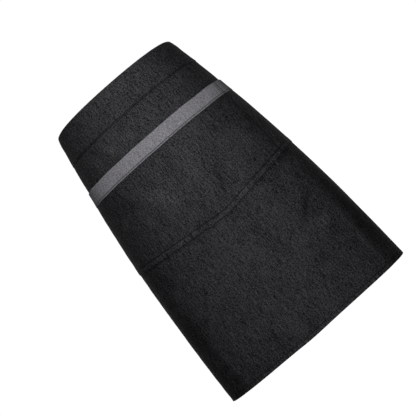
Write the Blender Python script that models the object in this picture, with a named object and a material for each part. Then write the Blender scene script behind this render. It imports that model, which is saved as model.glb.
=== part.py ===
"""A waist apron of dark denim with a wide pocket, in the form that it has when it is worn.

Each piece is laid out flat, as a pattern cutter would lay it: across from the cloth's middle, down from the
waistband's top edge, and out from the cloth's face. It is then wrapped round the wearer's outline, which
changes from the waist to the hem. Metres, +Z up. The front faces -Y, and the origin is the middle of the
waist at the waistband's mid-height.
"""

import math
from collections import namedtuple
from functools import lru_cache

import bmesh
import bpy
import numpy as np
from mathutils import Vector

# Driving dimensions: the cloth
LENGTH = 0.560  # the waistband's top edge to the hem
CUT_WIDTH = 0.600  # side edge to side edge along the cloth
CLOTH = 0.0010  # one layer
CLEARANCE = 0.0004  # between pieces that lie on each other
HEM = 0.0095  # turned up at the bottom
SIDE_HEM = 0.015  # turned in at each side

# Driving dimensions: how it is worn
WAIST_WIDTH = 0.267  # across the waistband's top edge
HEM_WIDTH = 0.395  # across the hem
FRONT_DEPTH = 0.118  # the waist's middle to the front of the skirt
BACK_DEPTH = 0.112  # the waist's middle to the seat
TURN = 0.0096  # the cloth's middle lies this far round towards +X
LEAN = -0.0036  # the hem's middle lies this far towards +X from the waist's
FOLD_HEIGHT = 0.003  # the highest soft fold
DIP = 0.0017  # how much lower the hem hangs near its middle
DIP_PLACE = -0.10  # where it does, as a share of half the CUT_WIDTH
DIP_REACH = 0.14  # and how far to each side, as a share of the same

# Driving dimensions: waistband, pocket and contrast band
WAISTBAND_HEIGHT = 0.0585
TUCK = 0.010  # how far the panel's top edge reaches into the waistband
POCKET_WIDTH = 0.480
POCKET_TOP = 0.1138  # the waistband's top edge to the pocket's mouth
POCKET_POINT = 0.3088  # the waistband's top edge to the V's point
POCKET_RISE_LEFT = 0.025  # how much higher the V's arm ends at the pocket's side, towards -X
POCKET_RISE_RIGHT = 0.030  # the same towards +X
BAND_WIDTH = 0.0283
BAND_RETURN = 0.009  # the part of the band that is folded in behind the pocket

# Driving dimensions: ties
TIE_WIDTH = 0.025
TIE_THICKNESS = 0.0018
TIE_LAP = 0.018  # sewn to the inside of the waistband's end
TAIL_LENGTH = 0.300  # hanging below the knot
TAIL_SPREAD = 0.018  # how far each tail's end has moved away from the middle
TAIL_OPENING = 0.100  # a tail is gathered at the knot, and opens to its full width over this length
KNOT_WIDTH = 0.040
KNOT_HEIGHT = 0.030
KNOT_DEPTH = 0.014

# How finely the pieces are divided
COLUMNS = 48
PANEL_ROWS = 16
POCKET_ROWS = 9
RING_STEPS = 1440
TIE_STEPS = 9
TAIL_STEPS = 12
BEND_STEPS = 6
KNOT_SIDES = 20
NUDGE = 0.002  # step of the finite differences
HEM_STEP = 0.0006  # the turned edge's own slope

# The worn outline, a row for each level. Down is a share of LENGTH, and spread goes from WAIST_WIDTH at 0 to
# HEM_WIDTH at 1. Front is the front line's place and side that of the widest place, as shares of FRONT_DEPTH
# ahead of the waist's middle; back is a share of BACK_DEPTH. Power 2 is an ellipse, and more is squarer.
Level = namedtuple("Level", "down spread front side back power")
LEVELS = (
    Level(down=0.00, spread=0.00, front=0.85, side=0.00, back=0.80, power=2.15),
    Level(down=0.10, spread=0.19, front=0.91, side=0.00, back=0.86, power=2.20),
    Level(down=0.22, spread=0.385, front=0.97, side=0.02, back=0.95, power=2.30),
    Level(down=0.38, spread=0.595, front=1.00, side=0.06, back=1.00, power=2.45),
    Level(down=0.55, spread=0.77, front=1.00, side=0.12, back=1.00, power=2.60),
    Level(down=0.78, spread=0.92, front=1.00, side=0.19, back=0.97, power=2.60),
    Level(down=1.00, spread=1.00, front=1.01, side=0.25, back=0.95, power=2.60),
)

# Soft folds, a row for each. Across is a share of half the CUT_WIDTH, and down, long and wide are shares of
# LENGTH. Angle is the ridge's slope in degrees, down towards +X, and rise is a share of FOLD_HEIGHT.
Fold = namedtuple("Fold", "across down long wide angle rise")
FOLDS = (
    Fold(across=-0.28, down=0.155, long=0.060, wide=0.022, angle=45, rise=0.40),
    Fold(across=-0.23, down=0.350, long=0.110, wide=0.040, angle=50, rise=0.50),
    Fold(across=0.34, down=0.555, long=0.060, wide=0.035, angle=-30, rise=0.35),
    Fold(across=0.36, down=0.740, long=0.090, wide=0.028, angle=-22, rise=0.55),
    Fold(across=-0.46, down=0.610, long=0.080, wide=0.030, angle=20, rise=-0.35),
    Fold(across=-0.40, down=0.980, long=0.160, wide=0.060, angle=90, rise=0.55),
    Fold(across=-0.18, down=1.000, long=0.150, wide=0.055, angle=90, rise=-0.60),
    Fold(across=0.07, down=1.000, long=0.170, wide=0.060, angle=90, rise=0.50),
    Fold(across=0.34, down=1.000, long=0.150, wide=0.055, angle=90, rise=-0.55),
    Fold(across=0.74, down=1.000, long=0.260, wide=0.080, angle=85, rise=0.90),
    Fold(across=-0.76, down=1.000, long=0.260, wide=0.080, angle=95, rise=0.90),
)

# Colours, one for each kind of cloth
DENIM = (0.030, 0.030, 0.032)
GREY = (0.185, 0.182, 0.196)
CLOTH_ROUGHNESS = 0.9
SHARP_EDGE = math.radians(40)

HALF_CUT = CUT_WIDTH / 2
TOP = WAISTBAND_HEIGHT / 2
OUTER, INNER = 0, 1


def hermite(at, places, values):
    """Reads a smooth curve through the values."""
    slopes = np.gradient(values, places)
    index = int(np.clip(np.searchsorted(places, at) - 1, 0, len(places) - 2))
    span = places[index + 1] - places[index]
    t = (at - places[index]) / span
    start = (1 + 2 * t) * (1 - t) ** 2 * values[index] + t * (1 - t) ** 2 * span * slopes[index]
    end = t * t * (3 - 2 * t) * values[index + 1] + t * t * (t - 1) * span * slopes[index + 1]
    return start + end


@lru_cache(maxsize=None)
def level_at(down):
    """The row of LEVELS at any depth, read between the written rows."""
    share = down / LENGTH
    places = [row.down for row in LEVELS]
    read = [hermite(share, places, [getattr(row, name) for row in LEVELS]) for name in Level._fields[1:]]
    return Level(share, *read)


@lru_cache(maxsize=None)
def ring(down):
    """Half of the outline at one depth, from the front's middle to the back's: arc length, x and y."""
    level = level_at(down)
    half_width = (WAIST_WIDTH + (HEM_WIDTH - WAIST_WIDTH) * level.spread) / 2
    side = -FRONT_DEPTH * level.side
    ahead = FRONT_DEPTH * level.front + side
    behind = BACK_DEPTH * level.back - side
    turn = np.linspace(0, math.pi, RING_STEPS)
    cosine = np.cos(turn)
    x = half_width * np.abs(np.sin(turn)) ** (2 / level.power)
    y = side - np.where(cosine > 0, ahead, behind) * np.sign(cosine) * np.abs(cosine) ** (2 / level.power)
    arc = np.concatenate(([0], np.cumsum(np.hypot(np.diff(x), np.diff(y)))))
    return arc, x, y


def half_girth(down):
    """The distance round the outline from the front's middle to the back's."""
    return ring(down)[0][-1]


def on_ring(along, down):
    """The x and y at a distance along the ring, from the front's middle towards +X or, negative, -X."""
    arc, x, y = ring(down)
    sign = math.copysign(1, along)
    far = abs(along)
    beyond = max(0.0, far - arc[-1])
    return sign * (np.interp(far, arc, x) - beyond), np.interp(far, arc, y)


def fold_height(across, down):
    """How far the soft folds lift the cloth here."""
    height = 0
    for fold in FOLDS:
        aside = across - fold.across * HALF_CUT
        below = down - fold.down * LENGTH
        cosine = math.cos(math.radians(fold.angle))
        sine = math.sin(math.radians(fold.angle))
        along = (aside * cosine + below * sine) / (fold.long * LENGTH)
        over = (below * cosine - aside * sine) / (fold.wide * LENGTH)
        height += fold.rise * FOLD_HEIGHT * math.exp(-along * along - over * over)
    return height


def dip(across, down):
    """How much lower the cloth hangs here, towards the middle of its hem."""
    aside = (across / HALF_CUT - DIP_PLACE) / DIP_REACH
    return DIP * (down / LENGTH) ** 4 * math.exp(-aside * aside)


@lru_cache(maxsize=None)
def surface(across, down):
    """The cloth's face: the ring at this depth, lifted by the folds."""
    along = across + TURN
    x, y = on_ring(along, down)
    before = on_ring(along - NUDGE, down)
    after = on_ring(along + NUDGE, down)
    outward = Vector((after[1] - before[1], before[0] - after[0], 0)).normalized()
    middle = Vector((x + LEAN * down / LENGTH, y, TOP - down - dip(across, down)))
    return middle + outward * fold_height(across, down)


def place(across, down, out):
    """The worn place of a point of the flat cloth."""
    sideways = surface(across + NUDGE, down) - surface(across - NUDGE, down)
    downwards = surface(across, down + NUDGE) - surface(across, down - NUDGE)
    return surface(across, down) + downwards.cross(sideways).normalized() * out


def fabric(name, colour):
    """A plain woven cloth's material."""
    made = bpy.data.materials.new(name)
    made.use_nodes = True
    shader = made.node_tree.nodes["Principled BSDF"]
    shader.inputs["Base Color"].default_value = (*colour, 1)
    shader.inputs["Roughness"].default_value = CLOTH_ROUGHNESS
    shader.inputs["Metallic"].default_value = 0
    return made


def add_object(name, bm, collection, colour):
    """Makes the finished mesh an object with its own material."""
    bmesh.ops.recalc_face_normals(bm, faces=bm.faces[:])
    mesh = bpy.data.meshes.new(name)
    bm.to_mesh(mesh)
    bm.free()
    mesh.materials.append(fabric(name, colour))
    mesh.shade_smooth()
    mesh.set_sharp_from_angle(angle=SHARP_EDGE)
    made = bpy.data.objects.new(name, mesh)
    collection.objects.link(made)
    return made


def cloth(name, columns, rows, corner, collection, colour):
    """A closed piece of cloth: a flat grid given a second skin, then every corner put in its worn place.

    corner(column, row, skin) gives the flat across, down and out of one corner.
    """
    bm = bmesh.new()
    bmesh.ops.create_grid(bm, x_segments=columns - 1, y_segments=rows - 1, size=1)
    first_skin = set(bm.verts)
    bmesh.ops.extrude_face_region(bm, geom=bm.faces[:])
    for vert in bm.verts:
        column = round((vert.co.x + 1) / 2 * (columns - 1))
        row = round((vert.co.y + 1) / 2 * (rows - 1))
        skin = INNER if vert in first_skin else OUTER
        vert.co = place(*corner(column, row, skin))
    return add_object(name, bm, collection, colour)


def stations(low, high):
    """The columns shared by all pieces between two places, so that layers bend alike and keep their gap."""
    edges = [HALF_CUT - SIDE_HEM, HALF_CUT - SIDE_HEM - HEM_STEP, POCKET_WIDTH / 2]
    places = [-HALF_CUT + CUT_WIDTH * i / COLUMNS for i in range(COLUMNS + 1)]
    places += [side * edge for side in (-1, 1) for edge in edges]
    kept = [low, high]
    for at in sorted(places):
        if low < at < high and min(abs(at - other) for other in kept) > HEM_STEP / 2:
            kept.append(at)
    return sorted(kept)


def skirt_panel(collection):
    """The main cloth, with its hems turned in and its top edge tucked between the waistband's leaves."""
    across = stations(-HALF_CUT, HALF_CUT)
    hem_top = LENGTH - HEM
    below_band = WAISTBAND_HEIGHT + CLEARANCE
    open_length = hem_top - HEM_STEP - below_band - HEM_STEP
    down = [WAISTBAND_HEIGHT - TUCK, below_band, below_band + HEM_STEP]
    down += [below_band + HEM_STEP + open_length * (i + 1) / PANEL_ROWS for i in range(PANEL_ROWS)]
    down += [hem_top, LENGTH]

    def corner(column, row, skin):
        u = across[column]
        v = down[row]
        turned_in = abs(u) > HALF_CUT - SIDE_HEM - HEM_STEP / 2 and v > below_band + HEM_STEP / 2
        turned_up = v > hem_top - HEM_STEP / 2
        layers = 2 if turned_in or turned_up else 1
        return u, v, 0 if skin == OUTER else -CLOTH * layers

    return cloth("skirt_panel", len(across), len(down), corner, collection, DENIM)


def folded_strip(top, front, front_out, back, back_out):
    """A strip's rows from the front leaf's bottom edge, over the fold at the top, to the back leaf's bottom.

    front and back are the depths of the leaves' rows below the fold, lowest first, and front_out(down) and
    back_out(down) are where the leaves' facing sides lie. Each row is the outer and the inner skin's
    (down, out). The strip is one CLOTH thick.
    """
    fold = top + CLOTH
    rows = [((down, front_out(down) + CLOTH), (down, front_out(down))) for down in (*front, fold)]
    middle = (front_out(fold) + back_out(fold)) / 2
    reach = (front_out(fold) - back_out(fold)) / 2
    for share in (0.5, 0, -0.5):
        rows.append(((top, middle + (reach + CLOTH) * share), (fold, middle + reach * share)))
    rows += [((down, back_out(down) - CLOTH), (down, back_out(down))) for down in (fold, *reversed(back))]
    return rows


def waistband(collection):
    """The strip folded over at the apron's top edge, its leaves either side of the panel's top edge."""
    across = stations(-HALF_CUT, HALF_CUT)
    leaf = (WAISTBAND_HEIGHT, WAISTBAND_HEIGHT - TUCK, (WAISTBAND_HEIGHT - TUCK) / 2)
    rows = folded_strip(
        top=0,
        front=leaf,
        front_out=lambda down: CLEARANCE,
        back=leaf,
        back_out=lambda down: -CLOTH - CLEARANCE,
    )
    return cloth(
        "waistband",
        len(across),
        len(rows),
        lambda column, row, skin: (across[column], *rows[row][skin]),
        collection,
        DENIM,
    )


def pocket_bottom(across):
    """How far down the pocket's V edge is at this place."""
    rise = POCKET_RISE_RIGHT if across > 0 else POCKET_RISE_LEFT
    return POCKET_POINT - rise * abs(across) / (POCKET_WIDTH / 2)


def pocket_out(across, down):
    """How far the pocket's back stands off the panel: sewn down along the V, and open at the mouth."""
    mouth = POCKET_TOP + BAND_RETURN
    share = min(1.0, max(0.0, (down - mouth) / (pocket_bottom(across) - mouth)))
    return CLEARANCE + (CLOTH + CLEARANCE) * (1 - share) ** 2


def pocket(collection):
    """The patch pocket, with its V bottom."""
    across = stations(-POCKET_WIDTH / 2, POCKET_WIDTH / 2)
    top = POCKET_TOP + CLOTH + CLEARANCE

    def corner(column, row, skin):
        u = across[column]
        v = top + (pocket_bottom(u) - top) * row / POCKET_ROWS
        return u, v, pocket_out(u, v) + (CLOTH if skin == OUTER else 0)

    return cloth("pocket", len(across), POCKET_ROWS + 1, corner, collection, DENIM)


def contrast_band(collection):
    """The grey strip that binds the pocket's mouth."""
    across = stations(-POCKET_WIDTH / 2, POCKET_WIDTH / 2)
    leaf = (BAND_WIDTH, (BAND_WIDTH + BAND_RETURN) / 2, BAND_RETURN)

    def rows(u):
        return folded_strip(
            top=POCKET_TOP,
            front=[POCKET_TOP + below for below in leaf],
            front_out=lambda down: pocket_out(u, down) + CLOTH + CLEARANCE,
            back=(POCKET_TOP + BAND_RETURN,),
            back_out=lambda down: pocket_out(u, down) - CLEARANCE,
        )

    def corner(column, row, skin):
        u = across[column]
        return (u, *rows(u)[row][skin])

    return cloth("contrast_band", len(across), len(rows(0)), corner, collection, GREY)


# The ties lie on the inside of the waistband's leaves, and the knot on the outside of the ties
TIE_OUT = -2 * CLOTH - 3 * CLEARANCE
TIE_DOWN = WAISTBAND_HEIGHT / 2
GATHERED = KNOT_HEIGHT / 2
BEND = KNOT_WIDTH / 4


def tie_route(side):
    """A tie's stations along its middle line: distance from the back's middle, depth, slope and width."""
    start = half_girth(TIE_DOWN) - (HALF_CUT - TIE_LAP + side * TURN)
    tail_away = BEND
    bend_away = tail_away + BEND
    route = []
    for i in range(TIE_STEPS + 1):
        share = i / TIE_STEPS
        away = start + (bend_away - start) * share
        width = TIE_WIDTH + (GATHERED - TIE_WIDTH) * max(0.0, 2 * share - 1) ** 2
        route.append((away, TIE_DOWN, 0.0, width))
    for i in range(1, BEND_STEPS + 1):
        slope = math.pi / 2 * i / BEND_STEPS
        away = bend_away - BEND * math.sin(slope)
        route.append((away, TIE_DOWN + BEND * (1 - math.cos(slope)), slope, GATHERED))
    for i in range(1, TAIL_STEPS + 1):
        share = i / TAIL_STEPS
        away = tail_away + TAIL_SPREAD * share * (2 - share)
        width = GATHERED + (TIE_WIDTH - GATHERED) * min(1.0, share * TAIL_LENGTH / TAIL_OPENING)
        route.append((away, TIE_DOWN + BEND + TAIL_LENGTH * share, math.pi / 2, width))
    return route


def tie(name, side, collection):
    """A flat tie: from the waistband's end round to the knot, then down as a hanging tail."""
    route = tie_route(side)

    def corner(column, row, skin):
        away, down, slope, width = route[column]
        offset = width * (row - 1) / 2
        away += offset * math.sin(slope)
        down += offset * math.cos(slope)
        across = side * (half_girth(down) - away) - TURN
        return across, down, TIE_OUT - (0 if skin == OUTER else TIE_THICKNESS)

    return cloth(name, len(route), 3, corner, collection, DENIM)


def tie_knot(collection):
    """The knot, a plain rounded lump on the ties where they turn down."""
    middle = place(half_girth(TIE_DOWN) - TURN, TIE_DOWN + BEND / 2, TIE_OUT + CLEARANCE + KNOT_DEPTH / 2)
    bm = bmesh.new()
    bmesh.ops.create_uvsphere(bm, u_segments=KNOT_SIDES, v_segments=KNOT_SIDES // 2, radius=0.5)
    bmesh.ops.scale(bm, vec=(KNOT_WIDTH, KNOT_DEPTH, KNOT_HEIGHT), verts=bm.verts)
    bmesh.ops.translate(bm, vec=middle, verts=bm.verts)
    return add_object("tie_knot", bm, collection, DENIM)


def main():
    for old in list(bpy.data.objects):
        bpy.data.objects.remove(old)
    collection = bpy.data.collections.new("waist_apron")
    bpy.context.scene.collection.children.link(collection)
    skirt_panel(collection)
    waistband(collection)
    pocket(collection)
    contrast_band(collection)
    tie("tie_left", -1, collection)
    tie("tie_right", 1, collection)
    tie_knot(collection)


main()
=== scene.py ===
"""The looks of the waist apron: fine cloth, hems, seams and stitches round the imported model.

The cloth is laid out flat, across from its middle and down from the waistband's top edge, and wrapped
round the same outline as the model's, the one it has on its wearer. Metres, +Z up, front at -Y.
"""

import math
from collections import namedtuple
from functools import partial

import bpy
import numpy as np
from mathutils import Matrix, Vector

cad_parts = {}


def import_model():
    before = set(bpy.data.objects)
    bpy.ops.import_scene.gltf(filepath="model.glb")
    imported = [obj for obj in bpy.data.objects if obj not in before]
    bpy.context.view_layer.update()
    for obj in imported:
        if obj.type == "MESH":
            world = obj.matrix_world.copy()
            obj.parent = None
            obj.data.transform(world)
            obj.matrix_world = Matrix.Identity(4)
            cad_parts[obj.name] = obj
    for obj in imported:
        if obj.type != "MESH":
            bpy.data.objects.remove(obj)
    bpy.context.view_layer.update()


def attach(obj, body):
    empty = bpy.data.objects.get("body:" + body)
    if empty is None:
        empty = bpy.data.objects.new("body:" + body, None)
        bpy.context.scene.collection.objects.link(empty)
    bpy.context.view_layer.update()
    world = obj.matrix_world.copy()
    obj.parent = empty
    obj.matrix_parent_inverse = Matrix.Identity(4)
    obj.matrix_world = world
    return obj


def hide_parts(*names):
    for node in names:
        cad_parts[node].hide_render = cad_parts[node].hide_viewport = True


# Sizes shared with the model
LENGTH = 0.560  # the waistband's top edge to the hem
CUT_WIDTH = 0.600  # side edge to side edge along the cloth
HEM = 0.0095
SIDE_HEM = 0.015
WAIST_WIDTH = 0.267
HEM_WIDTH = 0.395
FRONT_DEPTH = 0.118
BACK_DEPTH = 0.112
TURN = 0.0096
LEAN = -0.0036
FOLD_HEIGHT = 0.003
DIP = 0.0017
DIP_PLACE = -0.10
DIP_REACH = 0.14
WAISTBAND_HEIGHT = 0.0585
TUCK = 0.010
POCKET_WIDTH = 0.480
POCKET_TOP = 0.1138
POCKET_POINT = 0.3088
POCKET_RISE_LEFT = 0.025
POCKET_RISE_RIGHT = 0.030
BAND_WIDTH = 0.0283
BAND_RETURN = 0.009
TIE_WIDTH = 0.025
TIE_LAP = 0.018
TAIL_LENGTH = 0.300
TAIL_SPREAD = 0.018
TAIL_OPENING = 0.100
KNOT_WIDTH = 0.040
KNOT_HEIGHT = 0.030
KNOT_DEPTH = 0.014
HALF_CUT = CUT_WIDTH / 2
HALF_POCKET = POCKET_WIDTH / 2
TOP = WAISTBAND_HEIGHT / 2
POCKET_RISE = (POCKET_RISE_LEFT + POCKET_RISE_RIGHT) / 2
V_SLOPE = math.cos(math.atan(POCKET_RISE / HALF_POCKET))

# Sizes of the real, thinner cloth
CLOTH = 0.00055
GAP = 0.0001
TIE_THICKNESS = 0.0012
MOUTH_STAND = 0.0007  # how far the pocket stands off the panel at its mouth
TURNED_IN = 0.00035  # how much a turned-in allowance lifts the pocket's edges
EDGE_ROW = 0.0018  # the outer row of stitches, from the pocket's edge
INNER_ROW = 0.0122  # the inner row
SEAM_ROW = 0.0016  # the row along the waistband's lower edge
BAND_ROW = 0.0028  # the row along the band's lower edge
END_ROW = 0.0020  # the rows along the waistband's ends, from the ends and from the top edge
HEM_ROW = 0.0080
SIDE_ROW = 0.0125
BETWEEN_ROWS = 0.0060  # where the pocket puckers, between its two rows
DIVIDERS = (0.1490, 0.1430)  # the rows that close off a narrow slot of the pocket
# The depths also set how dark the dividers' painted shade is on the band and the pocket.
DIVIDER_DEPTHS = (0.00036, 0.00014)
DIVIDER_WIDTH = 0.0013
GROOVE_DEPTH = 0.00022  # how far a row of stitches pulls the face in
GROOVE_WIDTH = 0.0009
STITCH = 0.0031
PITCH = 0.0040
THREAD = 0.00021  # half of the thread's thickness
FOLD_RADIUS = (CLOTH + GAP) / 2  # of a hem's tight fold, at the cloth's middle
BAND_LOW = POCKET_TOP + BAND_WIDTH
MODEL_CLOTH = 0.0010  # the model's thicker cloth and wider gaps, which its knot's place depends on
MODEL_GAP = 0.0004

# The outline on the wearer and the soft folds, as in the model
Level = namedtuple("Level", "down spread front side back power")
LEVELS = (
    Level(0.00, 0.00, 0.85, 0.00, 0.80, 2.15),
    Level(0.10, 0.19, 0.91, 0.00, 0.86, 2.20),
    Level(0.22, 0.385, 0.97, 0.02, 0.95, 2.30),
    Level(0.38, 0.595, 1.00, 0.06, 1.00, 2.45),
    Level(0.55, 0.77, 1.00, 0.12, 1.00, 2.60),
    Level(0.78, 0.92, 1.00, 0.19, 0.97, 2.60),
    Level(1.00, 1.00, 1.01, 0.25, 0.95, 2.60),
)
Fold = namedtuple("Fold", "across down long wide angle rise")
FOLDS = (
    Fold(-0.28, 0.155, 0.060, 0.022, 45, 0.40),
    Fold(-0.23, 0.350, 0.110, 0.040, 50, 0.50),
    Fold(0.34, 0.555, 0.060, 0.035, -30, 0.35),
    Fold(0.36, 0.740, 0.090, 0.028, -22, 0.55),
    Fold(-0.46, 0.610, 0.080, 0.030, 20, -0.35),
    Fold(-0.40, 0.980, 0.160, 0.060, 90, 0.55),
    Fold(-0.18, 1.000, 0.150, 0.055, 90, -0.60),
    Fold(0.07, 1.000, 0.170, 0.060, 90, 0.50),
    Fold(0.34, 1.000, 0.150, 0.055, 90, -0.55),
    Fold(0.74, 1.000, 0.260, 0.080, 85, 0.90),
    Fold(-0.76, 1.000, 0.260, 0.080, 95, 0.90),
)

# Smaller creases and hollows that only the fine cloth has
CREASES = (
    Fold(-0.25, 0.364, 0.062, 0.021, 57, 0.60),
    Fold(0.02, 0.358, 0.070, 0.025, 90, 0.30),
    Fold(0.09, 0.460, 0.050, 0.012, 120, -0.50),
    Fold(0.37, 0.404, 0.045, 0.018, 85, 0.45),
    Fold(0.39, 0.596, 0.050, 0.020, 100, 0.50),
    Fold(0.36, 0.691, 0.055, 0.010, -39, -0.80),
    Fold(0.40, 0.757, 0.045, 0.020, -39, 0.60),
    Fold(0.28, 0.540, 0.020, 0.012, 60, -0.40),
    Fold(0.51, 0.880, 0.150, 0.009, 90, 0.50),
    Fold(0.58, 0.850, 0.250, 0.022, 90, -0.50),
    Fold(-0.56, 0.565, 0.035, 0.018, 60, -0.50),
    Fold(-0.37, 0.420, 0.040, 0.014, 80, 0.35),
    Fold(-0.31, 0.430, 0.040, 0.009, 65, -0.35),
    Fold(-0.42, 0.330, 0.050, 0.030, 60, -0.40),
    Fold(-0.26, 0.940, 0.035, 0.012, 90, -0.50),
    Fold(-0.06, 0.970, 0.035, 0.012, 90, -0.50),
    Fold(-0.45, 0.910, 0.045, 0.013, 90, 0.45),
    Fold(-0.56, 0.926, 0.060, 0.007, 88, 0.60),
    Fold(-0.62, 0.800, 0.250, 0.018, 90, -0.40),
    Fold(-0.28, 0.157, 0.030, 0.012, 45, 0.60),
    Fold(-0.37, 0.127, 0.030, 0.012, 45, -0.40),
    Fold(0.12, 0.040, 0.040, 0.009, 90, 0.35),
)
CREASE_HEIGHT = 0.0016
# The creases' painted light and shade: ridges are painted paler and hollows darker.
CREASE_PAINT_STRENGTH = 0.72  # how much paler ridges are than hollows

# Smooth unevenness of the cloth: cell across, cell down, height, seed
WAVES = (
    (0.060, 0.130, 0.00040, 11),
    (0.024, 0.040, 0.00013, 12),
    (0.009, 0.014, 0.00004, 13),
)
WANDER_CELLS = 128
WANDER_SCALE = 2.1  # brings a spline through unit heights back to about unit height
PUCKER = 0.00016  # how high the cloth puckers along a row of stitches
BOUND = 0.0010  # how much the contrast band's ends draw the cloth in
BOUND_REACH = 0.024  # how far above and below the band's middle they do
BOUND_FROM = 0.10  # where along the cloth this begins
BOUND_RAMP = 0.08  # over what distance it grows to all of it
SIDE_PLACE = 0.19  # where along the cloth the wearer's sides are
SAG = 0.0024  # how much the waistband's top edge is lower there
SAG_REACH = 0.045
ROLL = 0.0008  # how much the waistband swells below its top edge there
ROLL_REACH = 0.06
ROLL_DOWN = 0.016
NUDGE = 0.001


# The surface on the wearer

def hermite(at, places, values):
    """A smooth curve through the values, read at many places."""
    places = np.asarray(places)
    values = np.asarray(values)
    slopes = np.gradient(values, places)
    index = np.clip(np.searchsorted(places, at) - 1, 0, len(places) - 2)
    span = places[index + 1] - places[index]
    t = (at - places[index]) / span
    start = (1 + 2 * t) * (1 - t) ** 2 * values[index] + t * (1 - t) ** 2 * span * slopes[index]
    end = t * t * (3 - 2 * t) * values[index + 1] + t * t * (t - 1) * span * slopes[index + 1]
    return start + end


TABLE_STEP = 0.0025  # between the table's depths
TABLE_LOW = -0.02
TABLE_HIGH = LENGTH + 0.02
ALONG_STEP = 0.001  # between its distances round the outline
TABLE_ALONG = np.arange(0, 0.60, ALONG_STEP)
RING_POINTS = 1440


def ring_table():
    """The outline's x and y at even depths and even distances round it, and its half girths."""
    downs = np.arange(TABLE_LOW, TABLE_HIGH, TABLE_STEP)
    shares = downs / LENGTH
    places = [row.down for row in LEVELS]
    read = {}
    for name in Level._fields[1:]:
        read[name] = hermite(shares, places, [getattr(row, name) for row in LEVELS])
    turn = np.linspace(0, math.pi, RING_POINTS)
    cosine = np.cos(turn)
    xs = []
    ys = []
    girths = []
    for i in range(len(downs)):
        half_width = (WAIST_WIDTH + (HEM_WIDTH - WAIST_WIDTH) * read["spread"][i]) / 2
        side = -FRONT_DEPTH * read["side"][i]
        ahead = FRONT_DEPTH * read["front"][i] + side
        behind = BACK_DEPTH * read["back"][i] - side
        power = 2 / read["power"][i]
        x = half_width * np.abs(np.sin(turn)) ** power
        y = side - np.where(cosine > 0, ahead, behind) * np.sign(cosine) * np.abs(cosine) ** power
        arc = np.concatenate(([0], np.cumsum(np.hypot(np.diff(x), np.diff(y)))))
        beyond = np.maximum(0, TABLE_ALONG - arc[-1])
        xs.append(np.interp(TABLE_ALONG, arc, x) - beyond)
        ys.append(np.interp(TABLE_ALONG, arc, y))
        girths.append(arc[-1])
    return np.array(xs), np.array(ys), np.array(girths)


RING_X, RING_Y, RING_GIRTH = ring_table()


def on_ring(along, down):
    """The x and y at a distance along the ring, from the front's middle, and a depth."""
    row = np.clip((down - TABLE_LOW) / TABLE_STEP, 0, len(RING_X) - 1.001)
    column = np.clip(np.abs(along) / ALONG_STEP, 0, len(TABLE_ALONG) - 1.001)
    i = row.astype(int)
    j = column.astype(int)
    s = row - i
    t = column - j
    found = []
    for grid in (RING_X, RING_Y):
        upper = grid[i, j] * (1 - t) + grid[i, j + 1] * t
        lower = grid[i + 1, j] * (1 - t) + grid[i + 1, j + 1] * t
        found.append(upper * (1 - s) + lower * s)
    return np.sign(along) * found[0], found[1]


def half_girth(down):
    """The distance round the outline from the front's middle to the back's."""
    return np.interp(down, TABLE_LOW + TABLE_STEP * np.arange(len(RING_GIRTH)), RING_GIRTH)


def wander(x, y, seed):
    """Smooth waves of about unit height, one for each cell: seeded heights joined by a cubic spline."""
    heights = np.random.default_rng(seed).standard_normal((WANDER_CELLS, WANDER_CELLS))
    total = 0
    parts = []
    for at in (np.asarray(x) + 40, np.asarray(y) + 40):
        cell = np.floor(at).astype(int)
        t = at - cell
        weights = ((1 - t) ** 3, 3 * t**3 - 6 * t**2 + 4, -3 * t**3 + 3 * t**2 + 3 * t + 1, t**3)
        parts.append((cell, weights))
    (column, across), (row, down) = parts
    for i in range(4):
        for j in range(4):
            height = heights[(column + i) % WANDER_CELLS, (row + j) % WANDER_CELLS]
            total = total + height * across[i] * down[j] / 36
    return total * WANDER_SCALE


def bell(distance, width):
    """A soft bump, 1 at no distance."""
    return np.exp(-((distance / width) ** 2))


def unit(vectors):
    return vectors / np.linalg.norm(vectors, axis=-1, keepdims=True)


def pocket_bottom(across):
    """How far down the pocket's V edge is."""
    rise = np.where(across > 0, POCKET_RISE_RIGHT, POCKET_RISE_LEFT)
    return POCKET_POINT - rise * np.abs(across) / HALF_POCKET


def folds(across, down, table):
    """The sum of the table's folds, 1 being FOLD_HEIGHT."""
    total = 0
    for fold in table:
        aside = across - fold.across * HALF_CUT
        below = down - fold.down * LENGTH
        cosine = math.cos(math.radians(fold.angle))
        sine = math.sin(math.radians(fold.angle))
        along = (aside * cosine + below * sine) / (fold.long * LENGTH)
        over = (below * cosine - aside * sine) / (fold.wide * LENGTH)
        total = total + fold.rise * np.exp(-along * along - over * over)
    return total


def crease_light_and_shade(across, down):
    """Painted light and shade of the creases: paler on their ridges and darker in their hollows."""
    return CREASE_PAINT_STRENGTH * folds(across, down, CREASES)


def waves(across, down):
    """The height of the cloth's unevenness, which is held flatter at the waist."""
    held = 1 - 0.65 * bell(np.minimum(down, 0.08) - 0.02, 0.05)
    height = 0
    for cell_across, cell_down, rise, seed in WAVES:
        height = height + rise * wander(across / cell_across, down / cell_down, seed) * held
    return height


def puckers(across, down):
    """The puckers along rows of stitches, 1 being PUCKER. The hem's run aslant."""
    aside = np.abs(across)
    from_vee = pocket_bottom(across) - BETWEEN_ROWS - down
    inside = aside < HALF_POCKET
    rows = (  # distance from the row, reach, strength, along, cell along, cell down, seed
        (down - WAISTBAND_HEIGHT, 0.006, 1.3, across, 0.0055, 0.030, 21),
        (LENGTH - HEM_ROW - down, 0.007, 1.0, across + down, 0.0060, 0.050, 22),
        (from_vee, 0.009, 1.1 * inside, across, 0.0060, 0.030, 23),
        (HALF_CUT - SIDE_ROW - aside, 0.007, 0.8, across, 0.030, 0.0060, 24),
        (HALF_POCKET - BETWEEN_ROWS - aside, 0.008, 0.6, across, 0.030, 0.0060, 25),
    )
    total = 0
    for distance, reach, strength, along, cell_along, cell_down, seed in rows:
        rise = wander(along / cell_along, down / cell_down, seed)
        total = total + strength * bell(distance, reach) * rise
    return total


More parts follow.
